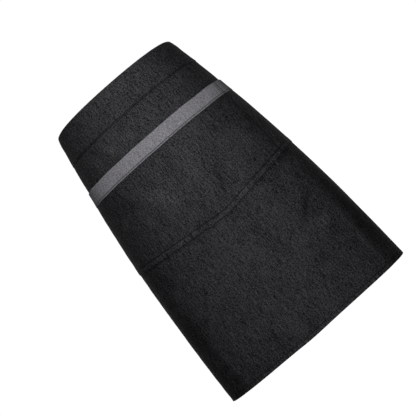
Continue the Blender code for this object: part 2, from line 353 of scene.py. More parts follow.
def relief(across, down):
    """How far soft folds, waves and puckers lift the cloth."""
    aside = np.abs(across)
    height = FOLD_HEIGHT * folds(across, down, FOLDS) + CREASE_HEIGHT * folds(across, down, CREASES)
    height = height + waves(across, down) + PUCKER * puckers(across, down)
    bound = bell(down - POCKET_TOP - BAND_WIDTH / 2, BOUND_REACH)
    bound = bound * np.clip((aside - BOUND_FROM) / BOUND_RAMP, 0, 1)
    rolled = bell(down - ROLL_DOWN, 0.010) - 0.8 * bell(down, 0.005)
    rolled = rolled * bell(aside - SIDE_PLACE, ROLL_REACH)
    return height - BOUND * bound + ROLL * rolled


def surface(across, down):
    """The panel's face: the ring at this depth, lifted by the relief."""
    along = across + TURN
    x, y = on_ring(along, down)
    before = on_ring(along - NUDGE, down)
    after = on_ring(along + NUDGE, down)
    outward = unit(np.stack([after[1] - before[1], before[0] - after[0]], -1))
    height = relief(across, down)
    dip = DIP * (down / LENGTH) ** 4 * bell(across / HALF_CUT - DIP_PLACE, DIP_REACH)
    return np.stack([
        x + LEAN * down / LENGTH + outward[..., 0] * height,
        y + outward[..., 1] * height,
        TOP - down - dip,
    ], -1)


def place(across, down, out):
    """The place on the wearer of points of the flat cloth."""
    across, down, out = np.broadcast_arrays(*(np.asarray(x, float) for x in (across, down, out)))
    sideways = surface(across + NUDGE, down) - surface(across - NUDGE, down)
    downwards = surface(across, down + NUDGE) - surface(across, down - NUDGE)
    normal = unit(np.cross(downwards, sideways))
    return surface(across, down) + normal * out[..., None]


# Mesh building

ROUND = 0.00035  # how far from its edge a cloth begins to thin
EDGE_LINES = (0.00004, 0.00014, ROUND, 0.0008)  # extra lines of the grid, from a rounded edge
ROW_LINES = (0.0005, 0.0011, 0.0019)  # and from a row of stitches
CLOSEST = 0.0004  # even lines keep this far from the extra ones
NEARLY = 1e-9


def lines(low, high, step, near=(), edges=()):
    """Grid places from low to high, a step apart, closer round rows of stitches and at rounded edges."""
    fine = [at + side * away for at in near for side in (-1, 1) for away in ROW_LINES]
    fine += list(near)
    for at in edges:
        inward = 1 if at == low else -1
        fine += [at + inward * away for away in EDGE_LINES]
    kept = [low, high] + [at for at in fine if low < at < high]
    for at in np.linspace(low, high, round((high - low) / step) + 1)[1:-1]:
        if min(abs(at - other) for other in kept) > CLOSEST:
            kept.append(at)
    kept = sorted(kept)
    return np.array([at for at, before in zip(kept, [-1] + kept) if at - before > 1e-6])


def lines_across(half, step, rows):
    """Grid places across a piece whose two ends are rounded."""
    return lines(-half, half, step, near=rows, edges=(-half, half))


def rounding(distance):
    """A cloth edge's share of its thickness, at a distance from its edge."""
    t = np.clip(distance / ROUND, 0, 1)
    return 0.12 + 0.88 * np.sqrt(1 - (1 - t) ** 2)


def groove(distance, depth=GROOVE_DEPTH, width=GROOVE_WIDTH):
    """How far a row of stitches pulls the face in."""
    return -depth * bell(distance, width)


def add_object(name, data):
    made = bpy.data.objects.new(name, data)
    bpy.context.scene.collection.objects.link(made)
    return made


def make_object(name, verts, faces, cut, tone, material):
    """A smooth-shaded mesh object, its cut coordinates as a UV map and its tone as an attribute."""
    mesh = bpy.data.meshes.new(name)
    mesh.from_pydata(verts.tolist(), [], faces)
    mesh.update()
    index = np.empty(len(mesh.loops), int)
    mesh.loops.foreach_get("vertex_index", index)
    layer = mesh.uv_layers.new(name="cloth")
    layer.data.foreach_set("uv", cut[index].astype(np.float32).ravel())
    attribute = mesh.attributes.new("tone", "FLOAT", "POINT")
    attribute.data.foreach_set("value", tone.astype(np.float32))
    mesh.materials.append(material)
    mesh.shade_smooth()
    mesh.set_sharp_from_angle(angle=math.radians(60))
    return add_object(name, mesh)


def two_skins(middle, half, pull, cut, tone, keep):
    """Vertices, faces, cut coordinates and tones of a closed cloth with an outer and an inner skin."""
    rows, columns = middle.shape[:2]
    normal = unit(np.cross(np.gradient(middle, axis=0), np.gradient(middle, axis=1)))
    outer = middle + normal * (half + pull)[..., None]
    inner = middle - normal * half[..., None]
    verts = np.concatenate([outer.reshape(-1, 3), inner.reshape(-1, 3)])
    number = np.arange(rows * columns).reshape(rows, columns)
    quads = np.stack([number[:-1, :-1], number[1:, :-1], number[1:, 1:], number[:-1, 1:]], -1)
    quads = quads[keep] if keep is not None else quads.reshape(-1, 4)
    edges = np.concatenate([quads[:, [i, (i + 1) % 4]] for i in range(4)])
    size = rows * columns
    forward = edges[:, 0] * size + edges[:, 1]
    backward = edges[:, 1] * size + edges[:, 0]
    rim = edges[~np.isin(forward, backward)]
    rims = np.stack([rim[:, 1], rim[:, 0], rim[:, 0] + size, rim[:, 1] + size], -1)
    faces = np.concatenate([quads, quads[:, ::-1] + size, rims])
    used = np.unique(faces)
    renumber = np.zeros(2 * size, int)
    renumber[used] = np.arange(len(used))
    cuts = np.concatenate([cut.reshape(-1, 2)] * 2)[used]
    tones = np.concatenate([tone.ravel()] * 2)[used]
    return verts[used], renumber[faces].tolist(), cuts, tones


def cloth_piece(name, material, across, down, out, half, pull, cut, tone, keep=None):
    """Wraps a grid of flat places into a closed piece of cloth."""
    across, down, out, half, pull, tone = np.broadcast_arrays(across, down, out, half, pull, tone)
    middle = place(across, down, out)
    return make_object(name, *two_skins(middle, half, pull, cut, tone, keep), material)


def fold_start(edge):
    """Where a tight fold that ends in this edge begins."""
    return edge - CLOTH / 2 - FOLD_RADIUS


def turned(cut, edge):
    """The flat place, and the depth behind the face, of a cloth that folds at an edge and runs back."""
    start = fold_start(edge)
    past = np.abs(cut) - start
    angle = np.clip(past / FOLD_RADIUS, 0, math.pi)
    back = np.maximum(0, past - math.pi * FOLD_RADIUS)
    at = np.where(past > 0, start + FOLD_RADIUS * np.sin(angle) - back, np.abs(cut))
    return np.sign(cut) * at, FOLD_RADIUS * (1 - np.cos(angle))


def fold_lines(edge, reach, step):
    """Cut coordinates round a tight fold at an edge and back inside for a reach."""
    arc = fold_start(edge) + FOLD_RADIUS * np.linspace(0, math.pi, 7)
    end = arc[-1] + reach - CLOTH
    back = lines(arc[-1], end, step, edges=(end,))
    return np.concatenate([arc, back[1:]])


# A stitch is a tube: places along it, and its lift and thickness at each
STITCH_SHARES = np.array([0, 0.18, 0.5, 0.82, 1])
STITCH_LIFT = np.array([-0.9, 0.35, 0.75, 0.35, -0.9]) * THREAD
STITCH_THICKNESS = np.array([0.5, 1, 1, 1, 0.5]) * THREAD
STITCH_SIDES = 6
STITCH_POINTS = STITCH_SIDES * len(STITCH_SHARES)
STITCH_JITTER = 0.00012
STITCH_SLANT = 0.06
SLANT_JITTER = 0.05


def stitch_places(points, seed):
    """The flat places along each stitch of a row that runs through these points."""
    points = np.asarray(points, float)
    arc = np.concatenate(([0], np.cumsum(np.linalg.norm(np.diff(points, axis=0), axis=1))))
    number = max(1, int((arc[-1] - STITCH) / PITCH) + 1)
    spare = (arc[-1] - (number - 1) * PITCH - STITCH) / 2
    jitter = np.random.default_rng(100 + seed).uniform(-1, 1, (number, 2))
    start = spare + PITCH * np.arange(number) + jitter[:, 0] * STITCH_JITTER
    at = np.clip(start[:, None] + STITCH * STITCH_SHARES, 0, arc[-1])
    across = np.interp(at, arc, points[:, 0])
    down = np.interp(at, arc, points[:, 1])
    heading = unit(np.stack([across[:, -1] - across[:, 0], down[:, -1] - down[:, 0]], -1))
    slant = (jitter[:, 1:] * SLANT_JITTER + STITCH_SLANT) * STITCH * (STITCH_SHARES - 0.5)
    return across - heading[:, 1:] * slant, down + heading[:, :1] * slant


def stitch_tubes(across, down, out, side):
    """The places on the wearer of rings of points round each stitch."""
    line = place(across, down, out + side * STITCH_LIFT)
    up = unit(place(across, down, out + side * (STITCH_LIFT + NUDGE)) - line)
    tangent = unit(np.gradient(line, axis=1))
    aside = unit(np.cross(tangent, up))
    up = np.cross(aside, tangent)
    turn = (np.arange(STITCH_SIDES) / STITCH_SIDES * 2 * math.pi)[:, None]
    spokes = np.cos(turn) * aside[:, :, None] + np.sin(turn) * up[:, :, None]
    return line[:, :, None] + STITCH_THICKNESS[:, None, None] * spokes


def stitch_faces(number, count):
    """The faces of a number of closed tubes, whose points begin at count."""
    starts = count + STITCH_POINTS * np.arange(number)
    i = np.arange(len(STITCH_SHARES) - 1)[:, None] * STITCH_SIDES
    j = np.arange(STITCH_SIDES)
    a = starts[:, None, None] + i + j
    b = starts[:, None, None] + i + (j + 1) % STITCH_SIDES
    faces = np.stack([a, b, b + STITCH_SIDES, a + STITCH_SIDES], -1).reshape(-1, 4).tolist()
    for start in starts.tolist():
        last = start + STITCH_POINTS - STITCH_SIDES
        faces.append(list(range(start + STITCH_SIDES - 1, start - 1, -1)))
        faces.append(list(range(last, last + STITCH_SIDES)))
    return faces


def stitches(runs, name, material):
    """Short arched lengths of thread, a set for each run.

    A run is flat points along the row, the face that it lies on as face(across, down), and the side that
    this face looks to, 1 outwards or -1 inwards.
    """
    verts = []
    faces = []
    cuts = []
    count = 0
    for seed, (points, face, side) in enumerate(runs):
        across, down = stitch_places(points, seed)
        tubes = stitch_tubes(across, down, face(across, down), side)
        verts.append(tubes.reshape(-1, 3))
        cuts.append(np.repeat(np.stack([across, down], -1).reshape(-1, 2), STITCH_SIDES, 0))
        faces += stitch_faces(len(across), count)
        count += STITCH_POINTS * len(across)
    verts = np.concatenate(verts)
    return make_object(name, verts, faces, np.concatenate(cuts), np.ones(len(verts)), material)


# Faces of the layers: how far out each lies at a flat place

def panel_pull(across, down):
    """The panel's face is also drawn in along the waistband's seam."""
    seam = groove(down - WAISTBAND_HEIGHT - 0.0002, depth=0.00025, width=0.0012)
    hem = groove(LENGTH - HEM_ROW - down, depth=0.00025)
    return seam + hem + groove(HALF_CUT - SIDE_ROW - np.abs(across), depth=0.0002)


def waistband_pull(across, down):
    pull = groove(WAISTBAND_HEIGHT - SEAM_ROW - down)
    return pull + groove(HALF_CUT - END_ROW - np.abs(across), depth=0.00018)


def pocket_stand(across, down):
    """How far the pocket's back stands off the panel."""
    mouth = POCKET_TOP + BAND_RETURN
    share = np.clip((down - mouth) / (pocket_bottom(across) - mouth), 0, 1)
    return GAP + MOUTH_STAND * (1 - share) ** 2


def pocket_edges(across, down):
    """The distances to the pocket's V edge and to its sides."""
    return (pocket_bottom(across) - down) * V_SLOPE, HALF_POCKET - np.abs(across)


def pocket_thickness(across, down):
    """One layer, and more where the allowance is turned in behind the edges."""
    below, beside = pocket_edges(across, down)
    inside = [1 / (1 + np.exp((at - INNER_ROW + 0.0008) / 0.0005)) for at in (below, beside)]
    return CLOTH + TURNED_IN * np.maximum(*inside)


def dividers(across):
    """The pull of the rows that close off the narrow slot."""
    return sum(groove(across - at, depth, DIVIDER_WIDTH) for at, depth in zip(DIVIDERS, DIVIDER_DEPTHS))


def pocket_pull(across, down):
    below, beside = pocket_edges(across, down)
    rows = [groove(at - row, depth=0.00026) for at in (below, beside) for row in (EDGE_ROW, INNER_ROW)]
    return np.minimum.reduce(rows) + 0.5 * dividers(across) * (below > EDGE_ROW)


def pocket_face(across, down):
    return pocket_stand(across, down) + pocket_thickness(across, down) + pocket_pull(across, down)


def band_middle(across, down):
    """The outer leaf's middle over the pocket, and the inner leaf's behind it."""
    stand = pocket_stand(across, down)
    outer = stand + pocket_thickness(across, BAND_LOW) + GAP + CLOTH / 2
    return outer, stand - GAP - CLOTH / 2


def band_pull(across, down):
    lower = groove(BAND_LOW - BAND_ROW - down, depth=0.00024)
    sides = groove(HALF_POCKET - EDGE_ROW - np.abs(across), depth=0.00014)
    return lower + sides + dividers(across)


def band_face(across, down):
    return band_middle(across, down)[0] + CLOTH / 2 + band_pull(across, down)


# Tones, with painted shade, painted light and wear in them: 1 is the plain cloth

def shade(pull, strength=0.55):
    """Painted shade: darker in the grooves of the stitch rows, where shadow falls."""
    return np.maximum(0.2, 1 + pull / GROOVE_DEPTH * strength)


def edge_shadow(outside):
    """The narrow shadow of a layer's edge on the cloth just outside it."""
    return bell(outside - 0.0004, 0.0010) * (outside > -0.002)


def hem_wear_and_pocket_shadow(across, down):
    """Paler along the hem's fold, which is wear, and darker round the pocket, which is a painted shadow of
    its edge.
    """
    below, beside = pocket_edges(across, down)
    faded = 0.10 * bell(LENGTH - down, 0.0015) + 0.05 * bell(LENGTH - 0.004 - down, 0.003)
    return faded - 0.40 * edge_shadow(np.maximum(-below, -beside))


def wobble(across, height, cell, seed):
    """How unevenly a cut or folded edge runs."""
    return height * wander(across / cell, 0 * across, seed)


# The pieces

def skirt(material):
    fold_down = fold_lines(LENGTH, HEM, 0.003)
    fold_side = fold_lines(HALF_CUT, SIDE_HEM, 0.0035)
    side_row = HALF_CUT - SIDE_ROW
    a = lines(-fold_side[0], fold_side[0], 0.0033, near=(-side_row, side_row))
    a = np.concatenate([-fold_side[:0:-1], a, fold_side[1:]])
    top = WAISTBAND_HEIGHT - TUCK
    b = lines(top, fold_down[0], 0.0033, near=(WAISTBAND_HEIGHT, LENGTH - HEM_ROW), edges=(top,))
    b = np.concatenate([b, fold_down[1:]])
    A, B = np.meshgrid(a, b)
    across, in_side = turned(A, HALF_CUT)
    down, in_down = turned(B, LENGTH)
    over = np.clip((np.abs(across) - (HALF_CUT - SIDE_HEM - 0.002)) / 0.002, 0, 1)
    out = -CLOTH / 2 - in_side - in_down * (1 + over)
    ends = np.minimum.reduce([B - top, b[-1] - B, a[-1] - np.abs(A)])
    half = CLOTH / 2 * rounding(ends)
    hem_pull = groove(LENGTH - HEM_ROW - down, depth=0.0002)
    side_pull = groove(side_row - np.abs(across), depth=0.0002)
    pull = np.where(B < fold_down[0], panel_pull(across, down), hem_pull)
    pull = np.where(np.abs(A) > fold_side[0], side_pull, pull)
    # Tone: painted shade in the stitch grooves, painted light and shade of the creases, paler wear along
    # the hem's fold and a painted shadow round the pocket's edge.
    tone = shade(pull) + crease_light_and_shade(across, down) + hem_wear_and_pocket_shadow(across, down)
    in_hem = b[:-1] >= fold_down[0] - NEARLY
    in_side_hem = (a[:-1] < -fold_side[0] - NEARLY) | (a[:-1] >= fold_side[0] - NEARLY)
    keep = ~(in_hem[:, None] & in_side_hem)
    cut = np.stack([A, B], -1)
    return cloth_piece("skirt_cloth", material, across, down, out, half, pull, cut, tone, keep)


def doubled(top, radius, cut):
    """The depth of a strip folded over at its top, and its side, 1 on the outer leaf and -1 on the inner.

    The cut coordinate is the distance from the fold, below 0 on the outer leaf.
    """
    centre = top + CLOTH / 2 + radius
    bend = math.pi / 2 * radius
    angle = np.clip(cut / radius, -math.pi / 2, math.pi / 2)
    straight = np.maximum(0, np.abs(cut) - bend)
    return centre - radius * np.cos(angle) + straight, -np.sin(angle)


def waistband(material):
    outer = GAP + CLOTH / 2
    inner = -CLOTH - GAP - CLOTH / 2
    radius = (outer - inner) / 2
    bend = math.pi / 2 * radius
    leaf = WAISTBAND_HEIGHT - CLOTH / 2 - radius
    row = leaf - SEAM_ROW
    b = lines(bend, bend + leaf, 0.003, near=(bend + row,), edges=(bend + leaf,))
    b = np.concatenate([-b[::-1], np.linspace(-bend, bend, 9)[1:-1], b])
    end = HALF_CUT - END_ROW
    A, B = np.meshgrid(lines_across(HALF_CUT, 0.003, (-end, end)), b)
    down, side = doubled(0, radius, B)
    down = down + SAG * bell(np.abs(A) - SIDE_PLACE, SAG_REACH) * (1 - down / WAISTBAND_HEIGHT)
    from_seam = WAISTBAND_HEIGHT - down
    out = (outer + inner) / 2 + radius * side
    half = CLOTH / 2 * rounding(np.minimum(b[-1] - np.abs(B), HALF_CUT - np.abs(A)))
    pull = waistband_pull(A, down)
    # Tone: painted shade in the stitch grooves, painted light and shade of the creases, paler wear along
    # the top fold, and painted shade along the lower edge where it lies on the panel.
    tone = shade(pull) + crease_light_and_shade(A, down) + 0.08 * bell(down, 0.002) - 0.25 * bell(from_seam, 0.0005)
    down = down + wobble(A, 0.00022, 0.012, 31) * bell(from_seam, 0.006)
    return cloth_piece("waistband_cloth", material, A, down, out, half, pull, np.stack([A, B], -1), tone)


def pocket(material):
    top = POCKET_TOP + CLOTH + 2 * GAP
    side_rows = [side * (HALF_POCKET - row) for side in (-1, 1) for row in (EDGE_ROW, INNER_ROW)]
    a = lines_across(HALF_POCKET, 0.0028, (*DIVIDERS, *side_rows))
    reach = 0.018  # how far above the V edge the grid follows it
    edge = lines(0, reach, 0.0028, near=(EDGE_ROW / V_SLOPE, INNER_ROW / V_SLOPE), edges=(0,))[::-1]
    upper = np.linspace(0, 1, 63)[:-1]
    A, number = np.meshgrid(a, np.arange(len(upper) + len(edge)))
    bottom = pocket_bottom(A)
    from_edge = np.concatenate([np.zeros(len(upper)), edge])[number]
    share = np.concatenate([upper, np.ones(len(edge))])[number]
    down = np.where(number < len(upper), top + (bottom - reach - top) * share, bottom - from_edge)
    thick = pocket_thickness(A, down)
    below, beside = pocket_edges(A, down)
    ends = np.minimum.reduce([below, beside, down - top + 0.0002])
    half = thick / 2 * rounding(ends)
    out = pocket_stand(A, down) + thick / 2
    pull = pocket_pull(A, down)
    # Tone: painted shade in the stitch grooves, painted light and shade of the creases, a painted highlight
    # on the puffed strip between the two rows, and the band's painted shadow just below its lower edge.
    tone = shade(pull, 0.75) + crease_light_and_shade(A, down) + 0.20 * bell(np.minimum(below, beside) - 0.0078, 0.0028)
    tone = tone - 0.3 * edge_shadow(down - BAND_LOW)
    cut = np.stack([A, down], -1)
    down = down + wobble(A, 0.00020, 0.014, 32) * bell(below, 0.008)
    return cloth_piece("pocket_cloth", material, A, down, out, half, pull, cut, tone)


def band(material):
    radius = (CLOTH + 2 * GAP + CLOTH) / 2
    bend = math.pi / 2 * radius
    outer_leaf = BAND_WIDTH - CLOTH / 2 - radius
    inner_leaf = BAND_RETURN - CLOTH / 2 - radius
    row = outer_leaf - BAND_ROW
    b = np.concatenate([
        -lines(bend, bend + outer_leaf, 0.0022, near=(bend + row,), edges=(bend + outer_leaf,))[::-1],
        np.linspace(-bend, bend, 9)[1:-1],
        lines(bend, bend + inner_leaf, 0.0025, edges=(bend + inner_leaf,)),
    ])
    side_row = HALF_POCKET - EDGE_ROW
    A, B = np.meshgrid(lines_across(HALF_POCKET, PITCH / 5, (*DIVIDERS, -side_row, side_row)), b)
    down, side = doubled(POCKET_TOP, radius, B)
    outer, inner = band_middle(A, down)
    out = (outer + inner) / 2 + (outer - inner) / 2 * side
    ends = np.minimum.reduce([HALF_POCKET - np.abs(A), B - b[0], b[-1] - B])
    half = CLOTH / 2 * rounding(ends)
    pull = np.where(side > 0, band_pull(A, down), dividers(A))
    # Painted shade of the rows' grooves, dotted: deepest at the needle holes.
    needle_hole_shade = 0.72 + 0.28 * np.cos(2 * math.pi * A / PITCH)
    tone = shade(pull * needle_hole_shade, 0.9)
    down = down + wobble(A, 0.00018, 0.016, 33)
    return cloth_piece("band_cloth", material, A, down, out, half, pull, np.stack([A, B], -1), tone)


TIE_DOWN = WAISTBAND_HEIGHT / 2
GATHERED = KNOT_HEIGHT / 2
BEND = KNOT_WIDTH / 4
TIE_MIDDLE = -2 * CLOTH - 2 * GAP - TIE_THICKNESS / 2
TIE_ROW = 0.0025


def tie_route(side):
    """A tie's stations: distance from the back's middle, depth, slope, width and length so far."""
    start = float(half_girth(TIE_DOWN)) - (HALF_CUT - TIE_LAP + side * TURN)
    turn_away = 2 * BEND
    share = np.linspace(0, 1, 60)
    run = np.stack([
        start + (turn_away - start) * share,
        np.full(60, TIE_DOWN),
        np.zeros(60),
        TIE_WIDTH + (GATHERED - TIE_WIDTH) * np.clip(2 * share - 1, 0, 1) ** 2,
    ], -1)
    slope = np.linspace(0, math.pi / 2, 10)[1:]
    bend = np.stack([
        turn_away - BEND * np.sin(slope), TIE_DOWN + BEND * (1 - np.cos(slope)), slope, np.full(9, GATHERED)
    ], -1)
    share = np.linspace(0, 1, 90)[1:]
    tail = np.stack([
        BEND + TAIL_SPREAD * share * (2 - share),
        TIE_DOWN + BEND + TAIL_LENGTH * share,
        np.full(89, math.pi / 2),
        GATHERED + (TIE_WIDTH - GATHERED) * np.clip(share * TAIL_LENGTH / TAIL_OPENING, 0, 1),
    ], -1)
    route = np.concatenate([run, bend, tail])
    steps = np.hypot(np.diff(route[:, 0]), np.diff(route[:, 1]))
    return np.concatenate([route, np.concatenate(([0], np.cumsum(steps)))[:, None]], 1)


def tie(name, side, material):
    """One tie. Its grid runs the other way on the left, so that its face looks outwards on both sides."""
    away, down, slope, width, so_far = (column[:, None] for column in tie_route(side).T)
    half_offsets = np.array([0.2, 0.4, 0.6, 0.8, 0.95, 0.985, 1]) / 2
    O = np.concatenate([-half_offsets[::-1], [0], half_offsets])[None, :]
    from_edge = (0.5 - np.abs(O)) * width
    away = away + O * width * np.sin(slope)
    down = down + O * width * np.cos(slope)
    across = side * (half_girth(down) - away) - TURN
    tight = (TIE_WIDTH - width) / (TIE_WIDTH - GATHERED)
    pleats = 0.0012 * tight * np.cos(O * 2 * math.pi * 2.5 + 1.1 * side)
    sway = 0.0008 * wander(so_far / 0.05, O * 0.7, 41 + side) * np.clip(so_far / 0.03, 0, 1)
    out = TIE_MIDDLE + pleats - np.abs(sway)
    half = TIE_THICKNESS / 2 * rounding(np.minimum(from_edge, so_far[-1] - so_far))
    # Painted shade along the tie's rows of stitches.
    tone = 1 - 0.35 * bell(from_edge - TIE_ROW, 0.0008)
    cut = np.stack(np.broadcast_arrays(O * TIE_WIDTH + 0.4 * side, so_far), -1)
    across, down, out, half, tone = (grid.T[::side] for grid in (across, down, out, half, tone))
    return cloth_piece(name, material, across, down, out, half, 0, cut.transpose(1, 0, 2)[::side], tone)


def shell(rows, columns, point, closed_rows=False):
    """A surface closed round its columns, and capped at both ends or closed round its rows too."""
    verts = np.array([point(i, j) for i in range(rows) for j in range(columns)])
    faces = []
    for i in range(rows if closed_rows else rows - 1):
        for j in range(columns):
            k = (j + 1) % columns
            n = (i + 1) % rows
            faces.append([i * columns + j, i * columns + k, n * columns + k, n * columns + j])
    if not closed_rows:
        faces.append(list(range(columns - 1, -1, -1)))
        faces.append(list(range((rows - 1) * columns, rows * columns)))
    return verts, faces


WRAP_HALF = 0.0098  # half of the wrap's width
WRAP_THICKNESS = 0.0013
WRAP_INSET = 0.0016  # how far the wrap's middle lies inside the knot's height and depth
WRAP_GRID = (72, 40)
EAR_GRID = (16, 44)
EAR_START = 0.002  # from the knot's middle


def softened(value):
    """A sine or cosine made squarer."""
    return math.copysign(abs(value) ** 0.7, value)


def wrap_point(i, j):
    """The pleated band round the knot: along it with i, round its own section with j."""
    turn = 2 * math.pi * i / WRAP_GRID[0]
    lap = 2 * math.pi * j / WRAP_GRID[1]
    share = softened(math.cos(lap))
    thick = WRAP_THICKNESS * softened(math.sin(lap))
    pleat = 0.00045 * math.cos(share * 7.5 + 0.8 * math.sin(2 * turn)) * (thick > 0)
    crown = 1 - 0.22 * share**2
    along = WRAP_HALF * share
    return (
        along * (1 - 0.15 * math.cos(turn) ** 2) + 0.0035 * math.sin(turn),
        ((KNOT_DEPTH / 2 - WRAP_INSET) * crown + thick + pleat) * math.cos(turn),
        ((KNOT_HEIGHT / 2 - WRAP_INSET) * crown + thick + pleat) * math.sin(turn),
    )


def ear_point(side, i, j):
    """A gathered end that goes into the wrap: outwards with i, round it with j."""
    share = i / (EAR_GRID[0] - 1)
    turn = 2 * math.pi * j / EAR_GRID[1]
    swell = math.sin(math.pi * (0.12 + 0.80 * share)) ** 0.6
    gather = 1 + 0.07 * math.cos(7 * turn + side) * (0.3 + share)
    return (
        side * (EAR_START + (KNOT_WIDTH / 2 - EAR_START) * share),
        -0.0015 * share + 0.0046 * swell * gather * math.cos(turn) * side,
        0.0016 * (1 - share) + 0.0100 * swell * gather * math.sin(turn) * (1 - 0.18 * share),
    )


def knot(material):
    """The knot: two gathered ends going in from the sides, and a pleated wrap over them."""
    out = -2 * MODEL_CLOTH - 2 * MODEL_GAP + KNOT_DEPTH / 2
    centre = place(float(half_girth(TIE_DOWN)) - TURN, TIE_DOWN + BEND / 2, out)
    parts = [shell(*WRAP_GRID, wrap_point, closed_rows=True)]
    parts += [shell(*EAR_GRID, partial(ear_point, side)) for side in (-1, 1)]
    faces = []
    start = 0
    for part_verts, part_faces in parts:
        faces += [[start + k for k in face] for face in part_faces]
        start += len(part_verts)
    verts = np.concatenate([part_verts for part_verts, _ in parts])
    cut = verts[:, [0, 2]] + [0.9, 0]
    return make_object("knot_cloth", verts + centre, faces, cut, np.ones(len(verts)), material)


# The rows of stitches

def waistband_face(across, down):
    return GAP + CLOTH + waistband_pull(across, down)


def waistband_back(across, down):
    return -2 * CLOTH - GAP - waistband_pull(across, down)


def tie_back(across, down):
    return TIE_MIDDLE - TIE_THICKNESS / 2 + 0 * across


def hem_back(across, down):
    """The hems' inner faces, a layer deeper at the corners, where both hems lie."""
    corner = (down > LENGTH - HEM) & (np.abs(across) > HALF_CUT - SIDE_HEM - 0.001)
    return -2 * CLOTH - GAP - 0.5 * panel_pull(across, down) - (CLOTH + GAP) * corner


def between(start, end, number=60):
    return np.linspace(start, end, number)


def waistband_rows():
    """Along the seam and the ends, in front and behind, and a crossed box that holds each tie."""
    seam = WAISTBAND_HEIGHT - SEAM_ROW
    end = HALF_CUT - END_ROW
    runs = []
    for face, side in ((waistband_face, 1), (waistband_back, -1)):
        runs.append((between((-end, seam), (end, seam), 200), face, side))
        runs.append((between((-end, END_ROW), (-end, seam)), face, side))
        runs.append((between((end, END_ROW), (end, seam)), face, side))
    near = HALF_CUT - TIE_LAP + 0.0025
    far = HALF_CUT - 0.0045
    high = TIE_DOWN - TIE_WIDTH / 2 + TIE_ROW
    low = TIE_DOWN + TIE_WIDTH / 2 - TIE_ROW
    for sign in (-1, 1):
        box = [(sign * near, high), (sign * far, high), (sign * far, low), (sign * near, low)]
        for a, b in ((0, 1), (1, 2), (2, 3), (3, 0), (0, 2), (1, 3)):
            runs.append((between(box[a], box[b], 8), waistband_face, 1))
            runs.append((between(box[a], box[b], 8), tie_back, -1))
    return runs


def hem_rows():
    low = LENGTH - HEM_ROW
    end = HALF_CUT - 0.003
    side_at = HALF_CUT - SIDE_ROW
    runs = []
    for face, side in ((panel_pull, 1), (hem_back, -1)):
        runs.append((between((-end, low), (end, low), 200), face, side))
        for at in (-side_at, side_at):
            runs.append((between((at, WAISTBAND_HEIGHT + 0.002), (at, low), 200), face, side))
    return runs


def pocket_rows():
    top = BAND_LOW + 0.001
    runs = []
    for row in (EDGE_ROW, INNER_ROW):
        for end in (row - HALF_POCKET, HALF_POCKET - row):
            across = np.linspace(0, end, 80)
            down = pocket_bottom(across) - row / V_SLOPE
            runs.append((np.stack([across, down], -1), pocket_face, 1))
            runs.append((between((end, top), (end, down[-1])), pocket_face, 1))
    for at in DIVIDERS:
        low = float(pocket_bottom(at) - INNER_ROW / V_SLOPE)
        runs.append((between((at, top), (at, low)), pocket_face, 1))
    return runs


def band_rows():
    low = BAND_LOW - BAND_ROW
    end = HALF_POCKET - 0.002
    runs = [(between((-end, low), (end, low), 200), band_face, 1)]
    for at in (*DIVIDERS, HALF_POCKET - EDGE_ROW, EDGE_ROW - HALF_POCKET):
        runs.append((between((at, POCKET_TOP + 0.0015), (at, BAND_LOW - 0.001)), band_face, 1))
    return runs


def sew(material):
    """Every row of stitches, a set of threads for each piece."""
    rows = {
        "waistband_stitches": waistband_rows(),
        "hem_stitches": hem_rows(),
        "pocket_stitches": pocket_rows(),
        "band_stitches": band_rows(),
    }
    return {name: stitches(runs, name, material) for name, runs in rows.items()}


# Materials

def new_material(name):
    """A new material, its node tree and its shader."""
    made = bpy.data.materials.new(name)
    made.use_nodes = True
    return made, made.node_tree, made.node_tree.nodes["Principled BSDF"]


def node(tree, kind, **settings):
    made = tree.nodes.new(kind)
    for name, value in settings.items():
        setattr(made, name, value)
    return made


def join(tree, start, end):
    tree.links.new(start, end)


def noise(tree, vector, across, down, detail=2.0, rough=0.5, twist=0.0):
    """Noise with cells of the given sizes in metres, from about 0 to 1."""
    scale = node(tree, "ShaderNodeMapping")
    scale.inputs["Scale"].default_value = (1 / across, 1 / down, 1)
    scale.inputs["Location"].default_value = (twist, twist * 1.7, 0)
    join(tree, vector, scale.inputs["Vector"])
    made = node(tree, "ShaderNodeTexNoise", noise_dimensions="2D")
    made.inputs["Scale"].default_value = 1.0
    made.inputs["Detail"].default_value = detail
    made.inputs["Roughness"].default_value = rough
    join(tree, scale.outputs["Vector"], made.inputs["Vector"])
    return made.outputs["Fac"]


def sum_of(tree, terms, start):
    """start plus each noise about its middle, times its share."""
    total = start - 0.5 * sum(share for _, share in terms)
    for fac, share in terms:
        total = math_node(tree, "MULTIPLY_ADD", fac, share, total)
    return total


def math_node(tree, operation, *values):
    made = node(tree, "ShaderNodeMath", operation=operation)
    for i, value in enumerate(values):
        if isinstance(value, (int, float)):
            made.inputs[i].default_value = value
        else:
            join(tree, value, made.inputs[i])
    return made.outputs[0]


def weave(tree, vector, pitch_across, pitch_down, lean):
    """The height of a woven surface: ribs along both ways, stepped sideways from thread to thread."""
    parts = node(tree, "ShaderNodeSeparateXYZ")
    join(tree, vector, parts.inputs[0])
    warp = math_node(tree, "MULTIPLY", parts.outputs["X"], 2 * math.pi / pitch_across)
    weft = math_node(tree, "MULTIPLY", parts.outputs["Y"], 2 * math.pi / pitch_down)
    slanted = math_node(tree, "MULTIPLY_ADD", weft, lean, warp)
    ribs = math_node(tree, "SINE", slanted)
    cross = math_node(tree, "SINE", weft)
    return math_node(tree, "MULTIPLY_ADD", cross, 0.45, ribs)


def colour_by(tree, shader, colour, factor):
    """Makes the base colour this colour times the factor."""
    tint = node(tree, "ShaderNodeVectorMath", operation="SCALE")
    tint.inputs[0].default_value = colour
    join(tree, factor, tint.inputs["Scale"])
    join(tree, tint.outputs[0], shader.inputs["Base Color"])


